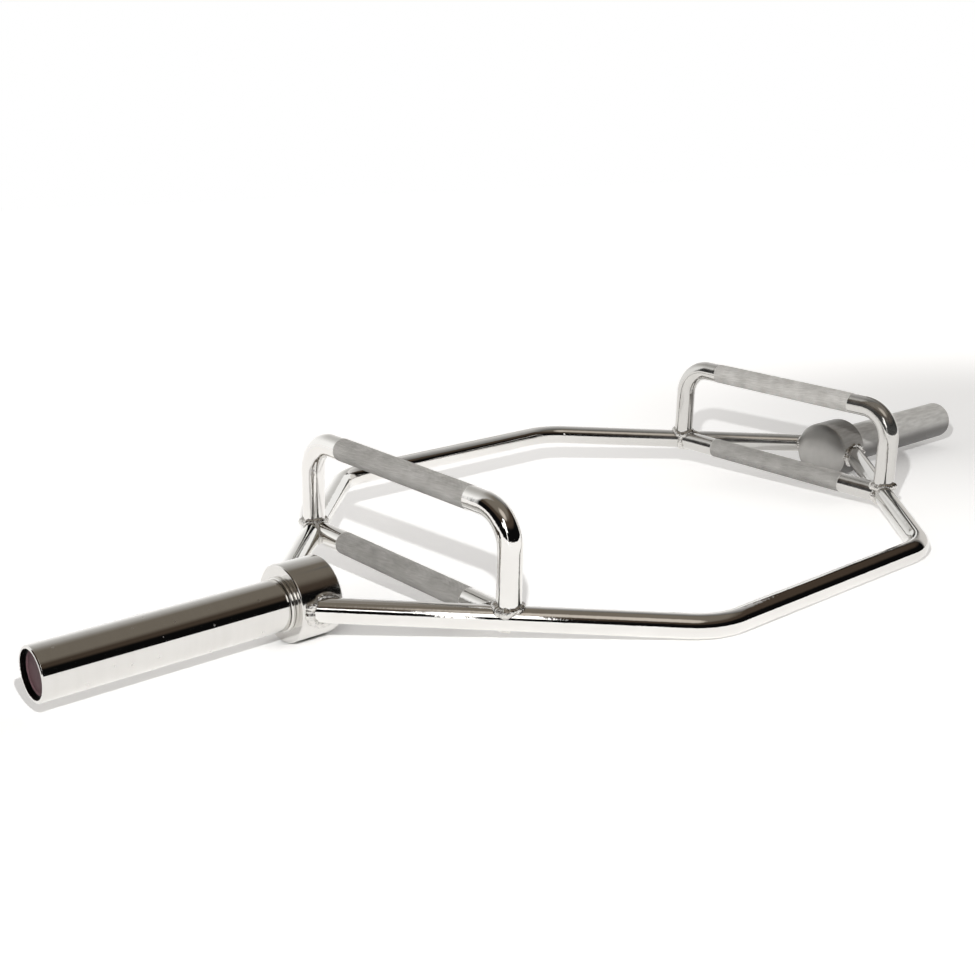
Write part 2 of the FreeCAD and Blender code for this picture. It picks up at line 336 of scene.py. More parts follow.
# The first tone of each is painted shade for the underside; the other two are the film.
hub_shade_and_film_tones = ((0.07, 0.066, 0.06, 1), (0.16, 0.15, 0.14, 1), (0.36, 0.35, 0.33, 1))
sleeve_shade_and_film_tones = ((0.12, 0.115, 0.11, 1), (0.40, 0.39, 0.37, 1), (0.84, 0.83, 0.80, 1))
hub_shade_heights = (0.024, 0.046)
sleeve_shade_heights = (0.030, 0.050)
dull_hub = filmed_chrome("dull_hub", hub_shade_heights, hub_shade_and_film_tones)
dull_sleeve = filmed_chrome("dull_sleeve", sleeve_shade_heights, sleeve_shade_and_film_tones)
turned_finishes = (hub_chrome, washer_chrome, sleeve_chrome, dull_hub, dull_sleeve)
print("finishes:", *(metal.name for metal in turned_finishes))

# %% [markdown]
# The hubs' inner ends were only faced off, not polished, so they are a satin grey. Facing leaves
# rings about the centre, so this noise depends on the distance from the hubs' axis.

# %% Faced metal for the ends of the hubs
faced_dark = (0.38, 0.375, 0.36, 1)
faced_pale = (0.50, 0.49, 0.475, 1)
facing_grain = 2200
stain_grain = 90
haze_grain = 60
facing_depth = 0.00002
faced_roughness = 0.26
facing_roughness = 0.12
haze_roughness = 0.06


def faced_metal():
    finish = Finish("faced_metal")
    centre = {0: finish.place(), 1: (0.0, 0.0, hub_radius)}
    from_axis = finish.add("VectorMath", {"operation": "SUBTRACT"}, centre)
    flat = finish.add("VectorMath", {"operation": "MULTIPLY"}, {0: from_axis, 1: (0.0, 1.0, 1.0)})
    radius = finish.add("VectorMath", {"operation": "LENGTH"}, {0: flat}, "Value")
    rings = finish.lines(radius, facing_grain)
    colour = finish.tint(finish.grain(stain_grain, detail=4.0), faced_dark, faced_pale)
    roughness = faced_roughness + facing_roughness * rings + haze_roughness * finish.grain(haze_grain)
    return finish.metal(colour, roughness, finish.relief(rings, facing_depth))


end_face_metal = faced_metal()
print("finish:", end_face_metal.name)

# %% [markdown]
# The knurl is plated too, but thousands of small facets scatter the light, so it reads as matte grey.
# Dirt and thin plating darken the roots, and the underside is painted darker as shade. Both are
# weaker on the raised grips, the more so toward the far end. A vertex attribute says how dirty and
# how shaded a point is, which follows the surface exactly and survives an export.

# %% Knurled chrome for the grips
GROOVE_AND_UNDERSIDE_SHADE = "groove_and_underside_shade"
knurl_dull = (0.60, 0.585, 0.56, 1)
knurl_bright = (0.94, 0.925, 0.90, 1)
knurl_dirt_and_shade = (0.12, 0.115, 0.105, 1)
wear_grain = 55
streak_grain = 1000
streak_stretch = (1.0, 0.06, 1.0)
streak_share = 0.6
raised_grip_heights = (0.07, 0.12)
far_places = (0.0, 0.3)
dirt_and_shade_cover = 0.75
raised_grip_loss = 0.12
far_loss = 0.24
grit_grain = 300
pit_grain = 2500
pit_depth = 0.00002
knurl_roughness = 0.46
dirt_roughness = 0.10
grit_roughness = 0.08
knurl_shine = 0.5


def knurled_chrome():
    finish = Finish("knurled_chrome")
    groove_and_underside_shade = finish.add("Attribute", {"attribute_name": GROOVE_AND_UNDERSIDE_SHADE}, output="Fac")
    streaks = finish.grain(streak_grain, detail=4.0, vector=finish.stretched(streak_stretch))
    worn = (1 - streak_share) * finish.grain(wear_grain) + streak_share * streaks
    wear = finish.span(worn, NOISE_LOW, NOISE_HIGH)
    fresh = finish.tint(wear, knurl_dull, knurl_bright)
    on_raised_grip = finish.span(finish.part(finish.place(), "Z"), *raised_grip_heights)
    far_end = finish.span(finish.part(finish.place(), "X"), *far_places)
    # The roots carry dirt; the underside part of the attribute is painted shade.
    dirt_and_shade = groove_and_underside_shade * (dirt_and_shade_cover - on_raised_grip * (raised_grip_loss + far_loss * far_end))
    colour = finish.tint(dirt_and_shade, fresh, knurl_dirt_and_shade)
    roughness = knurl_roughness + dirt_roughness * groove_and_underside_shade + grit_roughness * finish.grain(grit_grain)
    finish.metal(colour, roughness, finish.relief(finish.grain(pit_grain), pit_depth))
    finish.feed(finish.shader, {"Metallic": knurl_shine})
    return finish.material


grip_chrome = knurled_chrome()
print("finish:", grip_chrome.name)

# %% [markdown]
# Weld beads were plated as they were laid, so they shine but every ripple throws the light another
# way. The ripples are modelled. The finish only adds fine spatter and a duller skin in the hollows.

# %% Plated weld metal
weld_dull = (0.52, 0.50, 0.47, 1)
weld_bright = (0.92, 0.91, 0.89, 1)
spatter_grain = 900
skin_grain = 250
skin_height = 2.0
spatter_depth = 0.0004
weld_roughness = 0.06
skin_roughness = 0.16


def plated_weld():
    finish = Finish("plated_weld")
    spatter = finish.grain(spatter_grain, detail=4.0)
    skin = finish.grain(skin_grain)
    colour = finish.tint(skin, weld_dull, weld_bright)
    roughness = weld_roughness + skin_roughness * skin
    return finish.metal(colour, roughness, finish.relief(spatter + skin_height * skin, spatter_depth))


weld_chrome = plated_weld()
print("finish:", weld_chrome.name)

# %% [markdown]
# The disc in each sleeve's mouth is a dark moulded plastic with hardly any gloss and a faint mottle.
# The bore round it is painted almost black, as the shade deep in the mouth. Deep inside, the spindle
# is ground steel and the bushes are bronze, with the marks of their own making.

# %% Plastic, ground steel and bronze
plastic_dark = (0.080, 0.043, 0.048, 1)
plastic_pale = (0.150, 0.085, 0.095, 1)
plastic_gloss = 0.15
plastic_roughness = 0.45
mottle_roughness = 0.2
mottle_grain = 220
mould_grain = 1600
mould_depth = 0.00002
turning_grain = 1500
shade_grain = 60
bearing_roughness = 0.22
turning_roughness = 0.2


def cap_plastic_finish():
    finish = Finish("cap_plastic")
    mottle = finish.grain(mottle_grain, detail=4.0)
    colour = finish.tint(mottle, plastic_dark, plastic_pale)
    roughness = plastic_roughness + mottle_roughness * mottle
    values = {"Base Color": colour, "Roughness": roughness, "Specular IOR Level": plastic_gloss}
    finish.feed(finish.shader, values)
    finish.feed(finish.shader, {"Normal": finish.relief(finish.grain(mould_grain), mould_depth)})
    return finish.material


def bearing_metal(name, dark, pale, ring_depth):
    finish = Finish(name)
    rings = finish.lines(finish.part(finish.place(), "X"), turning_grain)
    colour = finish.tint(0.5 * rings + 0.5 * finish.grain(shade_grain), dark, pale)
    roughness = bearing_roughness + turning_roughness * rings
    return finish.metal(colour, roughness, finish.relief(rings, ring_depth))


cap_plastic = cap_plastic_finish()
spindle_steel = bearing_metal("spindle_steel", (0.42, 0.42, 0.43, 1), (0.56, 0.56, 0.57, 1), 0.000008)
bush_bronze = bearing_metal("bush_bronze", (0.45, 0.27, 0.10, 1), (0.62, 0.40, 0.18, 1), 0.000012)
# Painted shade for the sleeve's bore and the cap's rim.
painted_bore_shade = bearing_metal("painted_bore_shade", (0.008, 0.008, 0.008, 1), (0.030, 0.029, 0.028, 1), 0.00003)
for name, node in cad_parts.items():
    metal = bush_bronze if name.endswith("bush") else spindle_steel
    node.data.materials.clear()
    node.data.materials.append(metal)
print("finishes:", cap_plastic.name, spindle_steel.name, bush_bronze.name, painted_bore_shade.name)

# %% [markdown]
# Every piece ends the same way: its normals are made to face out, it is laid on the floor, becomes an
# object at the origin, is told which body it moves with, and hides the imported nodes it stands for.

# %% Finishing a piece
def finish_piece(bm, name, body, nodes, materials, turn):
    bmesh.ops.recalc_face_normals(bm, faces=bm.faces)
    bmesh.ops.transform(bm, matrix=lay @ turn, verts=bm.verts)
    mesh = bpy.data.meshes.new(name)
    bm.to_mesh(mesh)
    bm.free()
    for material in materials:
        mesh.materials.append(material)
    piece = link(bpy.data.objects.new(name, mesh))
    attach(piece, body)
    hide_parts(*nodes)
    print(f"{name}: {len(mesh.polygons)} faces")
    return piece


sides = {"right": Matrix.Identity(4), "left": half_turn}

# %% [markdown]
# A bar bender feeds out a straight length and then rolls the bar round a die. The mesh is made the
# same way. A ring of edges is drawn out with extrude for a straight run and swept with spin for a
# bend, so each bend is as round as its die and a straight run is only one row of long faces.

# %% Drawing and bending a bar
ROUND = 96


class Bar:
    """A round bar that is drawn out run by run, from a start and in a heading."""

    def __init__(self, start, heading, side, count=ROUND):
        self.bm = bmesh.new()
        self.groove_and_underside_shade = self.bm.verts.layers.float.new(GROOVE_AND_UNDERSIDE_SHADE)
        self.tip = Vector(start)
        self.heading = Vector(heading).normalized()
        self.side = Vector(side).normalized()
        upright = self.heading.cross(self.side)
        turn = Matrix((self.side, upright, self.heading)).transposed().to_4x4()
        place = Matrix.Translation(self.tip) @ turn
        made = bmesh.ops.create_circle(self.bm, radius=bar_radius, segments=count, matrix=place)
        self.first = made["verts"]
        self.ring = made["verts"]

    def loop(self):
        """The edges of the ring at the tip."""
        members = set(self.ring)
        edges = {edge for vert in self.ring for edge in vert.link_edges}
        return [edge for edge in edges if members.issuperset(edge.verts)]

    def run(self, length):
        """Draw the bar out straight, and return the edges along the new run."""
        grown = bmesh.ops.extrude_edge_only(self.bm, edges=self.loop())["geom"]
        self.ring = [item for item in grown if isinstance(item, bmesh.types.BMVert)]
        step = self.heading * length
        bmesh.ops.translate(self.bm, verts=self.ring, vec=step)
        self.tip += step
        members = set(self.ring)
        edges = {edge for vert in self.ring for edge in vert.link_edges}
        return [edge for edge in edges if not members.issuperset(edge.verts)]

    def bend(self, angle, radius, steps):
        """Roll the tip round a die on the bar's side."""
        centre = self.tip + self.side * radius
        axis = self.heading.cross(self.side)
        geometry = self.ring + self.loop()
        swept = bmesh.ops.spin(self.bm, geom=geometry, cent=centre, axis=axis, angle=angle,
                               steps=steps)
        self.ring = [item for item in swept["geom_last"] if isinstance(item, bmesh.types.BMVert)]
        roll = Matrix.Rotation(angle, 3, axis)
        self.tip = centre + roll @ (self.tip - centre)
        self.heading = roll @ self.heading
        self.side = roll @ self.side

    def shape_end(self, ring, inward, cutters, least=0.0):
        """Slide a ring along the bar until each point meets what it is coped to, and close the end."""
        for vert in ring:
            vert.co += inward * max(least, *(cope(vert.co, inward, cutter) for cutter in cutters))
        edges = {edge for vert in ring for edge in vert.link_edges if edge.is_boundary}
        bmesh.ops.contextual_create(self.bm, geom=list(edges))
        for edge in edges:
            edge.smooth = False


def cope(point, direction, cutter):
    """How far a point travels until it leaves a round bar, given as (point, axis, radius)."""
    centre, axis, radius = cutter
    across = point - centre
    across = across - axis * across.dot(axis)
    step = direction - axis * direction.dot(axis)
    half = across.dot(step)
    square = step.length_squared
    room = half * half - square * (across.length_squared - radius * radius)
    return (math.sqrt(max(room, 0.0)) - half) / square


print("bar bender ready,", ROUND, "points round a bar")

# %% [markdown]
# Each frame bar is one length of round bar with two bends, coped at its ends to the hubs' round
# walls. A pipe along a curve would give the bends, but not the coped ends, so the bar is drawn from
# hub to hub and its end rings are slid along it until each point sits on the hub. The rim of each end
# is a sharp edge, or the end face would bend the shading of the whole run beside it.

# %% Frame bars
BEND_STEPS = 40
hub_line = (Vector((0, 0, 0)), Vector((1, 0, 0)), hub_radius)
slant = Vector((-math.cos(corner_angle), math.sin(corner_angle), 0))
slant_length = corner_reach / math.sin(corner_angle)
corner_tangent = corner_radius * math.tan(corner_angle / 2)
corner_place = foot - corner_reach / math.tan(corner_angle)


def frame_bar(name, turn):
    bar = Bar((foot, 0, 0), slant, (-math.sin(corner_angle), -math.cos(corner_angle), 0))
    bar.run(slant_length - corner_tangent)
    bar.bend(corner_angle, corner_radius, BEND_STEPS)
    bar.run(2 * (corner_place - corner_tangent))
    bar.bend(corner_angle, corner_radius, BEND_STEPS)
    bar.run(slant_length - corner_tangent)
    bar.shape_end(bar.first, slant, [hub_line])
    bar.shape_end(bar.ring, -bar.heading, [hub_line])
    for face in bar.bm.faces:
        face.smooth = True
    finish_piece(bar.bm, name, "frame", [name], [bar_chrome], turn)


frame_bar("rear_frame_bar", Matrix.Identity(4))
frame_bar("front_frame_bar", half_turn)

# %% [markdown]
# A grip is knurled by pressing two wheels into the turning bar, which raises rows of small diamonds.
# Bump mapping would fake them, but the edge of the grip would stay smooth. Here the grip's part of
# the bar is cut into a fine net. Every second point of the net is raised, like the squares of a
# chessboard, and the quads are split along their short diagonals, which run through the roots and
# become the grooves.

# %% Knurling
KNURL_ROUND = 80
knurl_step = 0.00098
knurl_rise = 0.00040
knurl_root = -0.00010
painted_underside_shade = 0.5


def knurl(bar, grip, length, start):
    """Raise the diamonds of a grip. The net is a run of the bar along Y, from a start."""
    cuts = round(length / knurl_step)
    net = bmesh.ops.subdivide_edges(bar.bm, edges=grip, cuts=cuts - 1)["geom_inner"]
    points = {item for item in net if isinstance(item, bmesh.types.BMVert)}
    centre = Vector((start.x, 0, start.z))
    for vert in points:
        row = round((vert.co.y - start.y) / length * cuts)
        outward = Vector((vert.co.x, 0, vert.co.z)) - centre
        column = round(math.atan2(outward.z, outward.x) / math.tau * KNURL_ROUND)
        raised = (row + column) % 2
        outward.normalize()
        vert.co += outward * (knurl_rise if raised else knurl_root)
        # Painted shade: the underside is counted darker, on top of the roots.
        vert[bar.groove_and_underside_shade] = (0.0 if raised else 1.0) + painted_underside_shade * max(0.0, -outward.z)
    rows = {face for vert in points for face in vert.link_faces}
    diamonds = bmesh.ops.triangulate(bar.bm, faces=list(rows), quad_method="SHORT_EDGE")["faces"]
    for face in bar.bm.faces:
        face.smooth = True
    for face in diamonds:
        face.smooth = False
        face.material_index = 1
    print(f"knurl of {len(diamonds)} facets")


# %% [markdown]
# A lower handle is a straight bar between the two slanted sides. It is drawn in three runs, plain,
# knurled and plain, and its ends are coped to the slanted bars.

# %% Lower handles
lower_grip = 0.202
rear_side = (Vector((foot, 0, 0)), slant, bar_radius)
front_side = (Vector((foot, 0, 0)), Vector((slant.x, -slant.y, 0)), bar_radius)
to_rear = Vector((0, 1, 0))


def lower_handle(name, turn):
    plain = post_offset - lower_grip / 2
    bar = Bar((handle_half_span, -post_offset, 0), to_rear, (1, 0, 0), KNURL_ROUND)
    bar.run(plain)
    start = bar.tip.copy()
    grip = bar.run(lower_grip)
    bar.run(plain)
    bar.shape_end(bar.first, to_rear, [front_side])
    bar.shape_end(bar.ring, -to_rear, [rear_side])
    knurl(bar, grip, lower_grip, start)
    finish_piece(bar.bm, name, "frame", [name], [bar_chrome, grip_chrome], turn)


for side, turn in sides.items():
    lower_handle(f"{side}_lower_handle", turn)

# %% [markdown]
# A raised handle is the same bar with two bends, so that its ends become posts. Each post stands
# where a lower handle meets a slanted side, so its foot is coped to both bars.

# %% Raised handles
raised_grip = 0.206
post_cut = 0.75 * bar_radius
post_bend = math.radians(90)
handle_line = (Vector((handle_half_span, 0, 0)), to_rear, bar_radius)
upward = Vector((0, 0, 1))


def raised_handle(name, turn):
    plain = post_offset - handle_bend_radius - raised_grip / 2
    bar = Bar((handle_half_span, -post_offset, 0), upward, to_rear, KNURL_ROUND)
    bar.run(handle_raise - handle_bend_radius)
    bar.bend(post_bend, handle_bend_radius, BEND_STEPS)
    bar.run(plain)
    start = bar.tip.copy()
    grip = bar.run(raised_grip)
    bar.run(plain)
    bar.bend(post_bend, handle_bend_radius, BEND_STEPS)
    bar.run(handle_raise - handle_bend_radius)
    bar.shape_end(bar.first, upward, [front_side, handle_line], post_cut)
    bar.shape_end(bar.ring, upward, [rear_side, handle_line], post_cut)
    knurl(bar, grip, raised_grip, start)
    finish_piece(bar.bm, name, "frame", [name], [bar_chrome, grip_chrome], turn)


for side, turn in sides.items():
    raised_handle(f"{side}_raised_handle", turn)

# %% [markdown]
# A weld bead is a row of frozen puddles that runs round each joint. A ring of weld metal is spun
# about the bar like a doughnut, and every point is then slid along the bar to the line where the two
# bars meet. A wave along the ring gives the ripples, and noise swells and thins the bead as an
# unsteady hand does.

# %% Weld beads
BEAD_STEPS = 220
BEAD_ROUND = 20
ripple_length = 0.0026
ripple_height = 0.012
lump_scale = 170
lump_height = 0.60
crumb_scale = 4
crumb_share = 0.25
chevron_lean = 1.5
bead_seed = (7.3, 3.1, 11.7)


def weld_bead(bm, start, direction, cutters, least, leg, shift):
    """A bead round a bar where it is coped to the cutters. The direction leads away from the joint."""
    side = direction.orthogonal().normalized()
    centre = start + side * bar_radius
    turn = Matrix((side, direction, side.cross(direction))).transposed().to_4x4()
    place = Matrix.Translation(centre) @ turn
    section = bmesh.ops.create_circle(bm, radius=leg, segments=BEAD_ROUND, matrix=place)["verts"]
    edges = list({edge for vert in section for edge in vert.link_edges})
    before = set(bm.verts) - set(section)
    bmesh.ops.spin(bm, geom=section + edges, cent=start, axis=direction, angle=math.tau,
                   steps=BEAD_STEPS, use_merge=True)
    length = math.tau * bar_radius
    ripples = round(length / ripple_length)
    for vert in set(bm.verts) - before:
        offset = vert.co - start
        outward = offset - direction * offset.dot(direction)
        outward.normalize()
        toe = start + outward * bar_radius
        angle = math.atan2(outward.dot(side.cross(direction)), outward.dot(side))
        from_toe = vert.co - toe
        chevron = chevron_lean * from_toe.dot(direction) / leg
        swell = 1 + ripple_height * math.sin(ripples * angle + chevron)
        swell += lump_height * noise.noise(toe * lump_scale + shift)
        swell += crumb_share * lump_height * noise.noise(vert.co * crumb_scale * lump_scale + shift)
        slide = max(least, *(cope(toe, direction, cutter) for cutter in cutters))
        vert.co = toe + direction * slide + from_toe * swell


def weld_piece(name, turn, beads, leg):
    """One piece with the beads at both ends of a handle, or on both sides of a hub."""
    bm = bmesh.new()
    by_number, by_length, by_letter = bead_seed
    for number, (start, direction, cutters, least) in enumerate(beads):
        shift = Vector((by_number * number, by_length * len(name), by_letter * ord(name[0])))
        weld_bead(bm, start, direction, cutters, least, leg, shift)
    for face in bm.faces:
        face.smooth = True
    finish_piece(bm, name, "frame", [name], [weld_chrome], turn)


hub_bead_leg = 0.0046
handle_bead_leg = 0.0034
post_bead_leg = 0.0040
front_end = Vector((handle_half_span, -post_offset, 0))
rear_end = Vector((handle_half_span, post_offset, 0))
hub_end = Vector((foot, 0, 0))
front_slant = Vector((slant.x, -slant.y, 0))
hub_beads = [(hub_end, way, [hub_line], 0.0) for way in (slant, front_slant)]
handle_beads = [(front_end, to_rear, [front_side], 0.0), (rear_end, -to_rear, [rear_side], 0.0)]
post_beads = [
    (front_end, upward, [front_side, handle_line], post_cut),
    (rear_end, upward, [rear_side, handle_line], post_cut),
]
for side, turn in sides.items():
    weld_piece(f"{side}_hub_welds", turn, hub_beads, hub_bead_leg)
    weld_piece(f"{side}_handle_welds", turn, handle_beads, handle_bead_leg)
    weld_piece(f"{side}_post_welds", turn, post_beads, post_bead_leg)

# %% [markdown]
# Hubs, thrust washers, sleeves and end caps are all turned pieces: half an outline spun about the
# axis. Spin leaves sharp corners, and no real edge is sharp, so a Bevel modifier rounds them. With
# hardened normals the flat faces stay flat and only the rounded edge catches a line of light.

# %% Turning a piece
TURN_STEPS = 160
SHARP = math.radians(25)
BEVEL_STEPS = 3
merge_distance = bar_radius / 10000


def turned(outline):
    """Spin an outline of (place along X, radius) corners about the hubs' axis."""
    bm = bmesh.new()
    corners = [bm.verts.new((along, 0, radius)) for along, radius in outline]
    pairs = zip(corners, corners[1:] + corners[:1])
    edges = [bm.edges.new(pair) for pair in pairs if pair[0].co.z + pair[1].co.z > 0]
    bmesh.ops.spin(bm, geom=corners + edges, cent=(0, 0, 0), axis=(1, 0, 0), angle=math.tau,
                   steps=TURN_STEPS, use_merge=True)
    bmesh.ops.remove_doubles(bm, verts=bm.verts, dist=merge_distance)
    for face in bm.faces:
        face.smooth = True
    return bm


def round_edges(piece, width):
    bevel = piece.modifiers.new("rounded_edges", "BEVEL")
    bevel.limit_method = "ANGLE"
    bevel.angle_limit = SHARP
    bevel.width = width
    bevel.segments = BEVEL_STEPS
    bevel.harden_normals = True


print("lathe ready,", TURN_STEPS, "steps to a turn")

# %% [markdown]
# The hub is a fat block with a bore for the spindle. Its wall is plated and its inner end was left
# satin. That end is flat in the middle and rolls off toward its rim, which shows as a dark arc at the
# top.

# %% Hubs
hub_floor = 0.010
hub_edge = 0.0018
hub_crown = 0.0036
CROWN_STEPS = 16
CROWN_POWER = 4
FACE_SLOT = 1
wall_finish = {"right": dull_hub, "left": hub_chrome}


def hub(side, turn):
    shares = [step / CROWN_STEPS for step in range(CROWN_STEPS + 1)]
    crown = [hub_crown * share**CROWN_POWER for share in shares]
    outline = [(hub_inner + rise, hub_radius * share) for rise, share in zip(crown, shares)]
    outline += [
        (hub_face, hub_radius),
        (hub_face, spindle_radius),
        (hub_inner + hub_floor, spindle_radius),
        (hub_inner + hub_floor, 0),
    ]
    bm = turned(outline)
    for face in bm.faces:
        if face.calc_center_median().x < hub_inner + hub_crown:
            face.material_index = FACE_SLOT
    name = f"{side}_hub"
    metals = [wall_finish[side], end_face_metal]
    piece = finish_piece(bm, name, "frame", [name], metals, turn)
    round_edges(piece, hub_edge)


for side, turn in sides.items():
    hub(side, turn)

# %% [markdown]
# The thrust washer takes the sleeve's end load. The sleeve is a tube with chamfered ends and a
# stepped mouth, plated outside only, and its bore is painted black as shade. The cap is a shallow
# dished disc pressed into the step, with its rim painted black as the shade of the gap round it. The
# chamfers are drawn in the outline, because as flat faces they show a band of their own.

# %% Thrust washers, sleeves and end caps
thrust_lip = 0.0015
washer_edge = 0.0014
sleeve_wall = 0.004
mouth_step = 0.001
sleeve_chamfer = 0.001
sleeve_edge = 0.0003
cap_rim = 0.0031
cap_dish = 0.0011
SHADE_SLOT = 1
tube_finish = {"right": dull_sleeve, "left": sleeve_chrome}
thrust_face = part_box("right_thrust_washer")[1].x
sleeve_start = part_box("right_sleeve")[0].x
sleeve_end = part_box("right_sleeve")[1].x
cap_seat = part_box("right_end_cap")[0].x
cap_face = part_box("right_end_cap")[1].x
bore_radius = sleeve_radius - sleeve_wall
mouth_radius = bore_radius + mouth_step


def thrust_washer(side, turn):
    rim = sleeve_radius + thrust_lip
    outline = [
        (hub_face, spindle_radius),
        (hub_face, rim),
        (thrust_face, rim),
        (thrust_face, spindle_radius),
    ]
    name = f"{side}_thrust_washer"
    piece = finish_piece(turned(outline), name, "frame", [name], [washer_chrome], turn)
    round_edges(piece, washer_edge)


def from_axis(face):
    middle = face.calc_center_median()
    return math.hypot(middle.y, middle.z)


def sleeve(side, turn):
    outline = [
        (sleeve_start, bore_radius),
        (sleeve_start, sleeve_radius - sleeve_chamfer),
        (sleeve_start + sleeve_chamfer, sleeve_radius),
        (sleeve_end - sleeve_chamfer, sleeve_radius),
        (sleeve_end, sleeve_radius - sleeve_chamfer),
        (sleeve_end, mouth_radius),
        (cap_seat, mouth_radius),
        (cap_seat, bore_radius),
    ]
    bm = turned(outline)
    # Painted shade: the bore and the mouth step take the near-black finish.
    for face in bm.faces:
        if from_axis(face) < mouth_radius:
            face.material_index = SHADE_SLOT
    name = f"{side}_sleeve"
    body = f"{side}_sleeve_unit"
    piece = finish_piece(bm, name, body, [name], [tube_finish[side], painted_bore_shade], turn)
    round_edges(piece, sleeve_edge)


def end_cap(side, turn):
    outline = [
        (cap_seat, 0),
        (cap_seat, mouth_radius),
        (cap_face, mouth_radius),
        (cap_face, mouth_radius - cap_rim),
        (cap_face - cap_dish, mouth_radius - cap_rim - cap_dish),
        (cap_face - cap_dish, 0),
    ]
    bm = turned(outline)
    # Painted shade: the cap's rim takes the near-black finish.
    for face in bm.faces:
        if from_axis(face) > mouth_radius - cap_rim:
            face.material_index = SHADE_SLOT
    name = f"{side}_end_cap"
    body = f"{side}_sleeve_unit"
    piece = finish_piece(bm, name, body, [name], [cap_plastic, painted_bore_shade], turn)
    round_edges(piece, cap_dish / 2)


for side, turn in sides.items():
    thrust_washer(side, turn)
    sleeve(side, turn)
    end_cap(side, turn)

# %% [markdown]
# The lamp stands just above the camera and throws crisp shadows that fan out behind the bar. A real
# lamp so near would light the near end far more than the far end. The Light Falloff node keeps its
# light even. Mirrors don't see the lamp: its bright face is added to the room they show.

# %% Lamp
lamp_place = Vector((-0.90, -0.81, 0.62))
lamp_radius = 0.012
lamp_strength = 33.0

lamp_data = bpy.data.lights.new("lamp", "POINT")
lamp_data.energy = 1.0
lamp_data.shadow_soft_size = lamp_radius
lamp_data.use_nodes = True
lamp_finish = Finish("lamp", lamp_data.node_tree)
even = lamp_finish.add("LightFalloff", values={"Strength": lamp_strength}, output="Constant")
lamp_finish.feed(lamp_data.node_tree.nodes["Emission"], {"Strength": even})
lamp = link(bpy.data.objects.new("lamp", lamp_data))
lamp.location = lamp_place
lamp.visible_glossy = False
print("lamp at", tuple(round(v, 3) for v in lamp_place))

# %% [markdown]
# The floor is a plain white sheet, and white paper under soft light is simply white to the camera.
# The lamp reaches it at a slant, so its light thins out toward the back. The sheet's own glow makes
# up the rest: the sum is an even white, and a shadow is what is left where the bar blocks the lamp.
# Past the far end the sheet turns a little grey, because little light reaches that corner, and a
# contact shadow is painted where the hubs touch it.

# %% Floor and world
floor_radius = 30.0
floor_white = (0.90, 0.90, 0.895, 1)
floor_level = 1.06
sky_strength = 0.45
sky_warm = (1.0, 0.98, 0.96, 1)
dim_place = (1.0, 0.0, 0.0)
dim_reach = 0.85
dim_core = 0.2
dim_depth = 0.27
touch_length = 0.048
touch_width = 0.024
contact_shadow_dark = (0.03, 0.03, 0.03, 1)
contact_shadow_range = (0.25, 0.65)
contact_shadow_glow_range = (0.3, 1.3)
lamp_share = floor_white[0] * lamp_strength / (2 * math.pi) ** 2
sky_share = floor_white[0] * sky_strength


def seen_directly(finish):
    """1 for what the camera, a mirror or clear glass sees, and 0 for light that is scattered."""
    path = finish.add("LightPath").socket.node
    camera_ray = Flow(finish, path.outputs["Is Camera Ray"])
    glossy_ray = Flow(finish, path.outputs["Is Glossy Ray"])
    clear_ray = Flow(finish, path.outputs["Is Transmission Ray"])
    return camera_ray + glossy_ray + clear_ray


def floor_sheet():
    finish = Finish("floor_sheet")
    ends = {0: tuple(lamp_place), 1: finish.place()}
    to_lamp = finish.add("VectorMath", {"operation": "SUBTRACT"}, ends)
    way = finish.add("VectorMath", {"operation": "NORMALIZE"}, {0: to_lamp})
    slope = finish.part(way, "Z")
    ends = {0: finish.place(), 1: dim_place}
    away = finish.add("VectorMath", {"operation": "DISTANCE"}, ends, "Value")
    level = floor_level - finish.span(away, dim_core * dim_reach, dim_reach, dim_depth, 0.0)
    rest = level - sky_share - lamp_share * slope
    mirrored = finish.add("VectorMath", {"operation": "ABSOLUTE"}, {0: finish.place()})
    middle = ((hub_inner + hub_face) / 2, 0.0, 0.0)
    beside = finish.add("VectorMath", {"operation": "SUBTRACT"}, {0: mirrored, 1: middle})
    shares = {0: beside, 1: (1 / touch_length, 1 / touch_width, 0.0)}
    scaled = finish.add("VectorMath", {"operation": "MULTIPLY"}, shares)
    apart = finish.add("VectorMath", {"operation": "LENGTH"}, {0: scaled}, "Value")
    # Painted contact shadow: near the hubs' contact lines the glow fades and the paper turns dark.
    glow = rest.calculate("MAXIMUM", rest, 0.0) * finish.span(apart, *contact_shadow_glow_range)
    paper = finish.tint(finish.span(apart, *contact_shadow_range), contact_shadow_dark, floor_white)
    finish.feed(finish.shader, {"Base Color": paper, "Roughness": 1.0, "Specular IOR Level": 0.0})
    strength = glow * seen_directly(finish)
    finish.feed(finish.shader, {"Emission Color": sky_warm, "Emission Strength": strength})
    return finish.material


bm = bmesh.new()
bmesh.ops.create_circle(bm, cap_ends=True, radius=floor_radius, segments=96)
floor_mesh = bpy.data.meshes.new("floor")
bm.to_mesh(floor_mesh)
bm.free()
floor_mesh.materials.append(floor_sheet())
link(bpy.data.objects.new("floor", floor_mesh))

world = bpy.data.worlds.new("studio")
world.use_nodes = True
bpy.context.scene.world = world
sky = Finish("sky", world.node_tree)
seen = seen_directly(sky)
sky_light = sky_strength + (1 - sky_strength) * seen
sky_colour = sky.tint(seen, sky_warm, (1, 1, 1, 1))
sky.feed(world.node_tree.nodes["Background"], {"Color": sky_colour, "Strength": sky_light})
bpy.context.scene.view_settings.view_transform = "Standard"
print(f"the lamp gives the floor up to {lamp_share:.2f} and the sky {sky_share:.2f} of white")

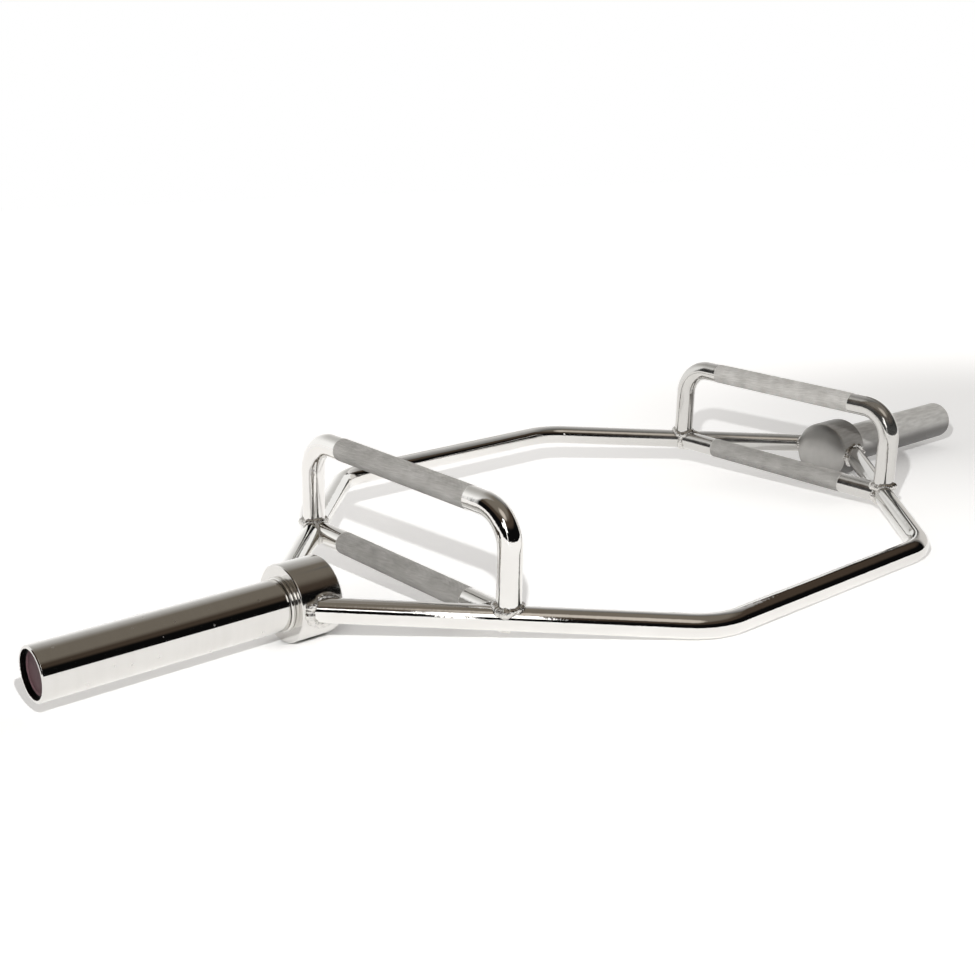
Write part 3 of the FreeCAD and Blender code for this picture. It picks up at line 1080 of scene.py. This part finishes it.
# %% [markdown]
# Chrome has no colour of its own: it shows the room. The room is dark behind the camera and to its
# right, black at the horizon, brown higher up and brown-grey overhead, with a beige glow on the
# ceiling behind the camera. Ahead and to the left hangs a white backdrop, which fades as it rises,
# later on its left side, and a patch of its light spills to the right of it. A dome stands for that
# room. Only mirror rays see it, so it neither lights the floor nor hides the bar.

# %% Studio dome
dome_radius = 25.0
room_black = (0.004, 0.004, 0.004, 1)
room_brown = (0.060, 0.044, 0.032, 1)
room_grey = (0.185, 0.162, 0.132, 1)
brown_heights = (0.40, 0.56)
grey_heights = (0.64, 0.84)
backdrop_white = (1.08, 1.08, 1.07, 1)
backdrop_grey = (0.45, 0.44, 0.42, 1)
backdrop_right = math.radians(30)
backdrop_left = math.radians(139)
wall_edge = 0.12
fade_lean = 0.4
fade_azimuth = math.radians(10)
fade_range = (0.25, 0.95)
top_range = (0.85, 1.10)
glow_beige = (0.64, 0.58, 0.51, 1)
glow_azimuth = math.radians(-117)
glow_height = math.radians(58)
glow_edge = math.radians(18)
glow_core = math.radians(6)
side_light = (0.74, 0.72, 0.69, 1)
side_azimuth = math.radians(12)
side_edge = math.radians(29)
side_core = math.radians(21)


def level_way(azimuth):
    """A level direction, counted from +X toward +Y."""
    return (math.cos(azimuth), math.sin(azimuth), 0.0)


def along(finish, vector, direction):
    return finish.add("VectorMath", {"operation": "DOT_PRODUCT"}, {0: vector, 1: direction}, "Value")


def glow_material(finish, colour, strength):
    """Make a finish of the studio shine and nothing else."""
    finish.feed(finish.shader, {"Base Color": (0, 0, 0, 1), "Specular IOR Level": 0.0})
    finish.feed(finish.shader, {"Emission Color": colour, "Emission Strength": strength})
    return finish.material


def dome_finish():
    finish = Finish("studio_dome")
    way = finish.add("VectorMath", {"operation": "NORMALIZE"}, {0: finish.place()})
    height = finish.part(way, "Z")
    brown = finish.span(height, *brown_heights)
    grey = finish.span(height, *grey_heights)
    room = finish.tint(grey, finish.tint(brown, room_black, room_brown), room_grey)
    rise = height + fade_lean * along(finish, way, level_way(fade_azimuth))
    backdrop = finish.tint(finish.span(rise, *fade_range), backdrop_white, backdrop_grey)
    backdrop = finish.tint(finish.span(rise, *top_range), backdrop, room_grey)
    past_right = along(finish, way, level_way(backdrop_right + math.pi / 2))
    past_left = along(finish, way, level_way(backdrop_left - math.pi / 2))
    on_backdrop = finish.span(past_right, 0.0, wall_edge) * finish.span(past_left, 0.0, wall_edge)
    level = Vector(level_way(glow_azimuth)) * math.cos(glow_height)
    glow_way = (level.x, level.y, math.sin(glow_height))
    to_glow = along(finish, way, glow_way)
    in_glow = finish.span(to_glow, math.cos(glow_edge), math.cos(glow_core))
    room = finish.tint(in_glow, room, glow_beige)
    to_side = along(finish, way, level_way(side_azimuth))
    in_side_light = finish.span(to_side, math.cos(side_edge), math.cos(side_core))
    room = finish.tint(in_side_light, room, side_light)
    return glow_material(finish, finish.tint(on_backdrop, room, backdrop), 1.0)


def stage_piece(bm, name, material):
    """A piece of the studio that only mirror rays see."""
    mesh = bpy.data.meshes.new(name)
    bm.to_mesh(mesh)
    bm.free()
    mesh.materials.append(material)
    piece = link(bpy.data.objects.new(name, mesh))
    piece.visible_camera = False
    piece.visible_diffuse = False
    piece.visible_shadow = False


bm = bmesh.new()
bmesh.ops.create_uvsphere(bm, u_segments=96, v_segments=48, radius=dome_radius)
whole = list(bm.verts) + list(bm.edges) + list(bm.faces)
bmesh.ops.bisect_plane(bm, geom=whole, plane_co=(0, 0, 0), plane_no=(0, 0, 1), clear_inner=True)
stage_piece(bm, "studio_dome", dome_finish())
print("dome radius", dome_radius)

# %% [markdown]
# Five cards hang near enough to be placed. Three are the lamp's own bright face, with a low wing and
# a narrow stand below, which show as the white patch on the bar that faces the camera. One is the
# near end of the backdrop, which only the bars at the back show. The last is a ceiling panel over the
# far corner, brighter toward the backdrop. Plain cards are enough, because only their reflections
# count.

# %% Lamp face, backdrop end and ceiling panel
face_white = (2.0, 1.98, 1.95, 1)
face_turn = math.radians(-51)
face_place = Vector((-0.97, -0.77, 0.66))
face_width = 0.22
face_height = 0.60
wing_place = Vector((-1.06, -0.67, 0.55))
wing_width = 0.42
wing_height = 0.18
stand_place = Vector((-1.012, -0.718, 0.23))
stand_width = 0.05
stand_height = 0.46
end_place = Vector((1.40, 1.05, 0.45))
end_turn = math.radians(102.5)
end_width = 0.92
end_height = 0.90
panel_place = Vector((0.838, 0.488, 1.0))
panel_turn = math.radians(-27)
panel_length = 0.85
panel_width = 1.47
panel_dark = (0.11, 0.107, 0.10, 1)
panel_pale = (0.86, 0.85, 0.835, 1)


def card(length, width, place):
    """A flat card of that size, laid by a matrix."""
    bm = bmesh.new()
    bmesh.ops.create_grid(bm, x_segments=1, y_segments=1, size=0.5)
    bmesh.ops.scale(bm, verts=bm.verts, vec=(length, width, 1))
    bmesh.ops.transform(bm, matrix=place, verts=bm.verts)
    return bm


def panel_finish():
    finish = Finish("ceiling_panel")
    rear = Vector(level_way(panel_turn + math.pi / 2))
    middle = panel_place.dot(rear)
    half = panel_width / 2
    depth = along(finish, finish.place(), tuple(rear))
    values = {"Value": depth, "From Min": middle - half, "From Max": middle + half}
    rearward = finish.add("MapRange", {}, values)
    return glow_material(finish, finish.tint(rearward, panel_dark, panel_pale), 1.0)


def upright(place, turn):
    """A matrix that stands a card up and turns it about Z."""
    on_edge = Matrix.Rotation(math.pi / 2, 4, "X")
    return Matrix.Translation(place) @ Matrix.Rotation(turn, 4, "Z") @ on_edge


lamp_face = glow_material(Finish("lamp_face"), face_white, 1.0)
end_white = glow_material(Finish("backdrop_end"), backdrop_white, 0.9)
stage_piece(card(face_width, face_height, upright(face_place, face_turn)), "lamp_face", lamp_face)
stage_piece(card(wing_width, wing_height, upright(wing_place, face_turn)), "lamp_wing", lamp_face)
stage_piece(card(stand_width, stand_height, upright(stand_place, face_turn)), "lamp_stand", lamp_face)
stage_piece(card(end_width, end_height, upright(end_place, end_turn)), "backdrop_end", end_white)
flat = Matrix.Translation(panel_place) @ Matrix.Rotation(panel_turn, 4, "Z")
stage_piece(card(panel_length, panel_width, flat), "ceiling_panel", panel_finish())
print("lamp face at", tuple(round(v, 2) for v in face_place))

# %% [markdown]
# Last, the view layer is updated.

# %% View layer update
bpy.context.view_layer.update()
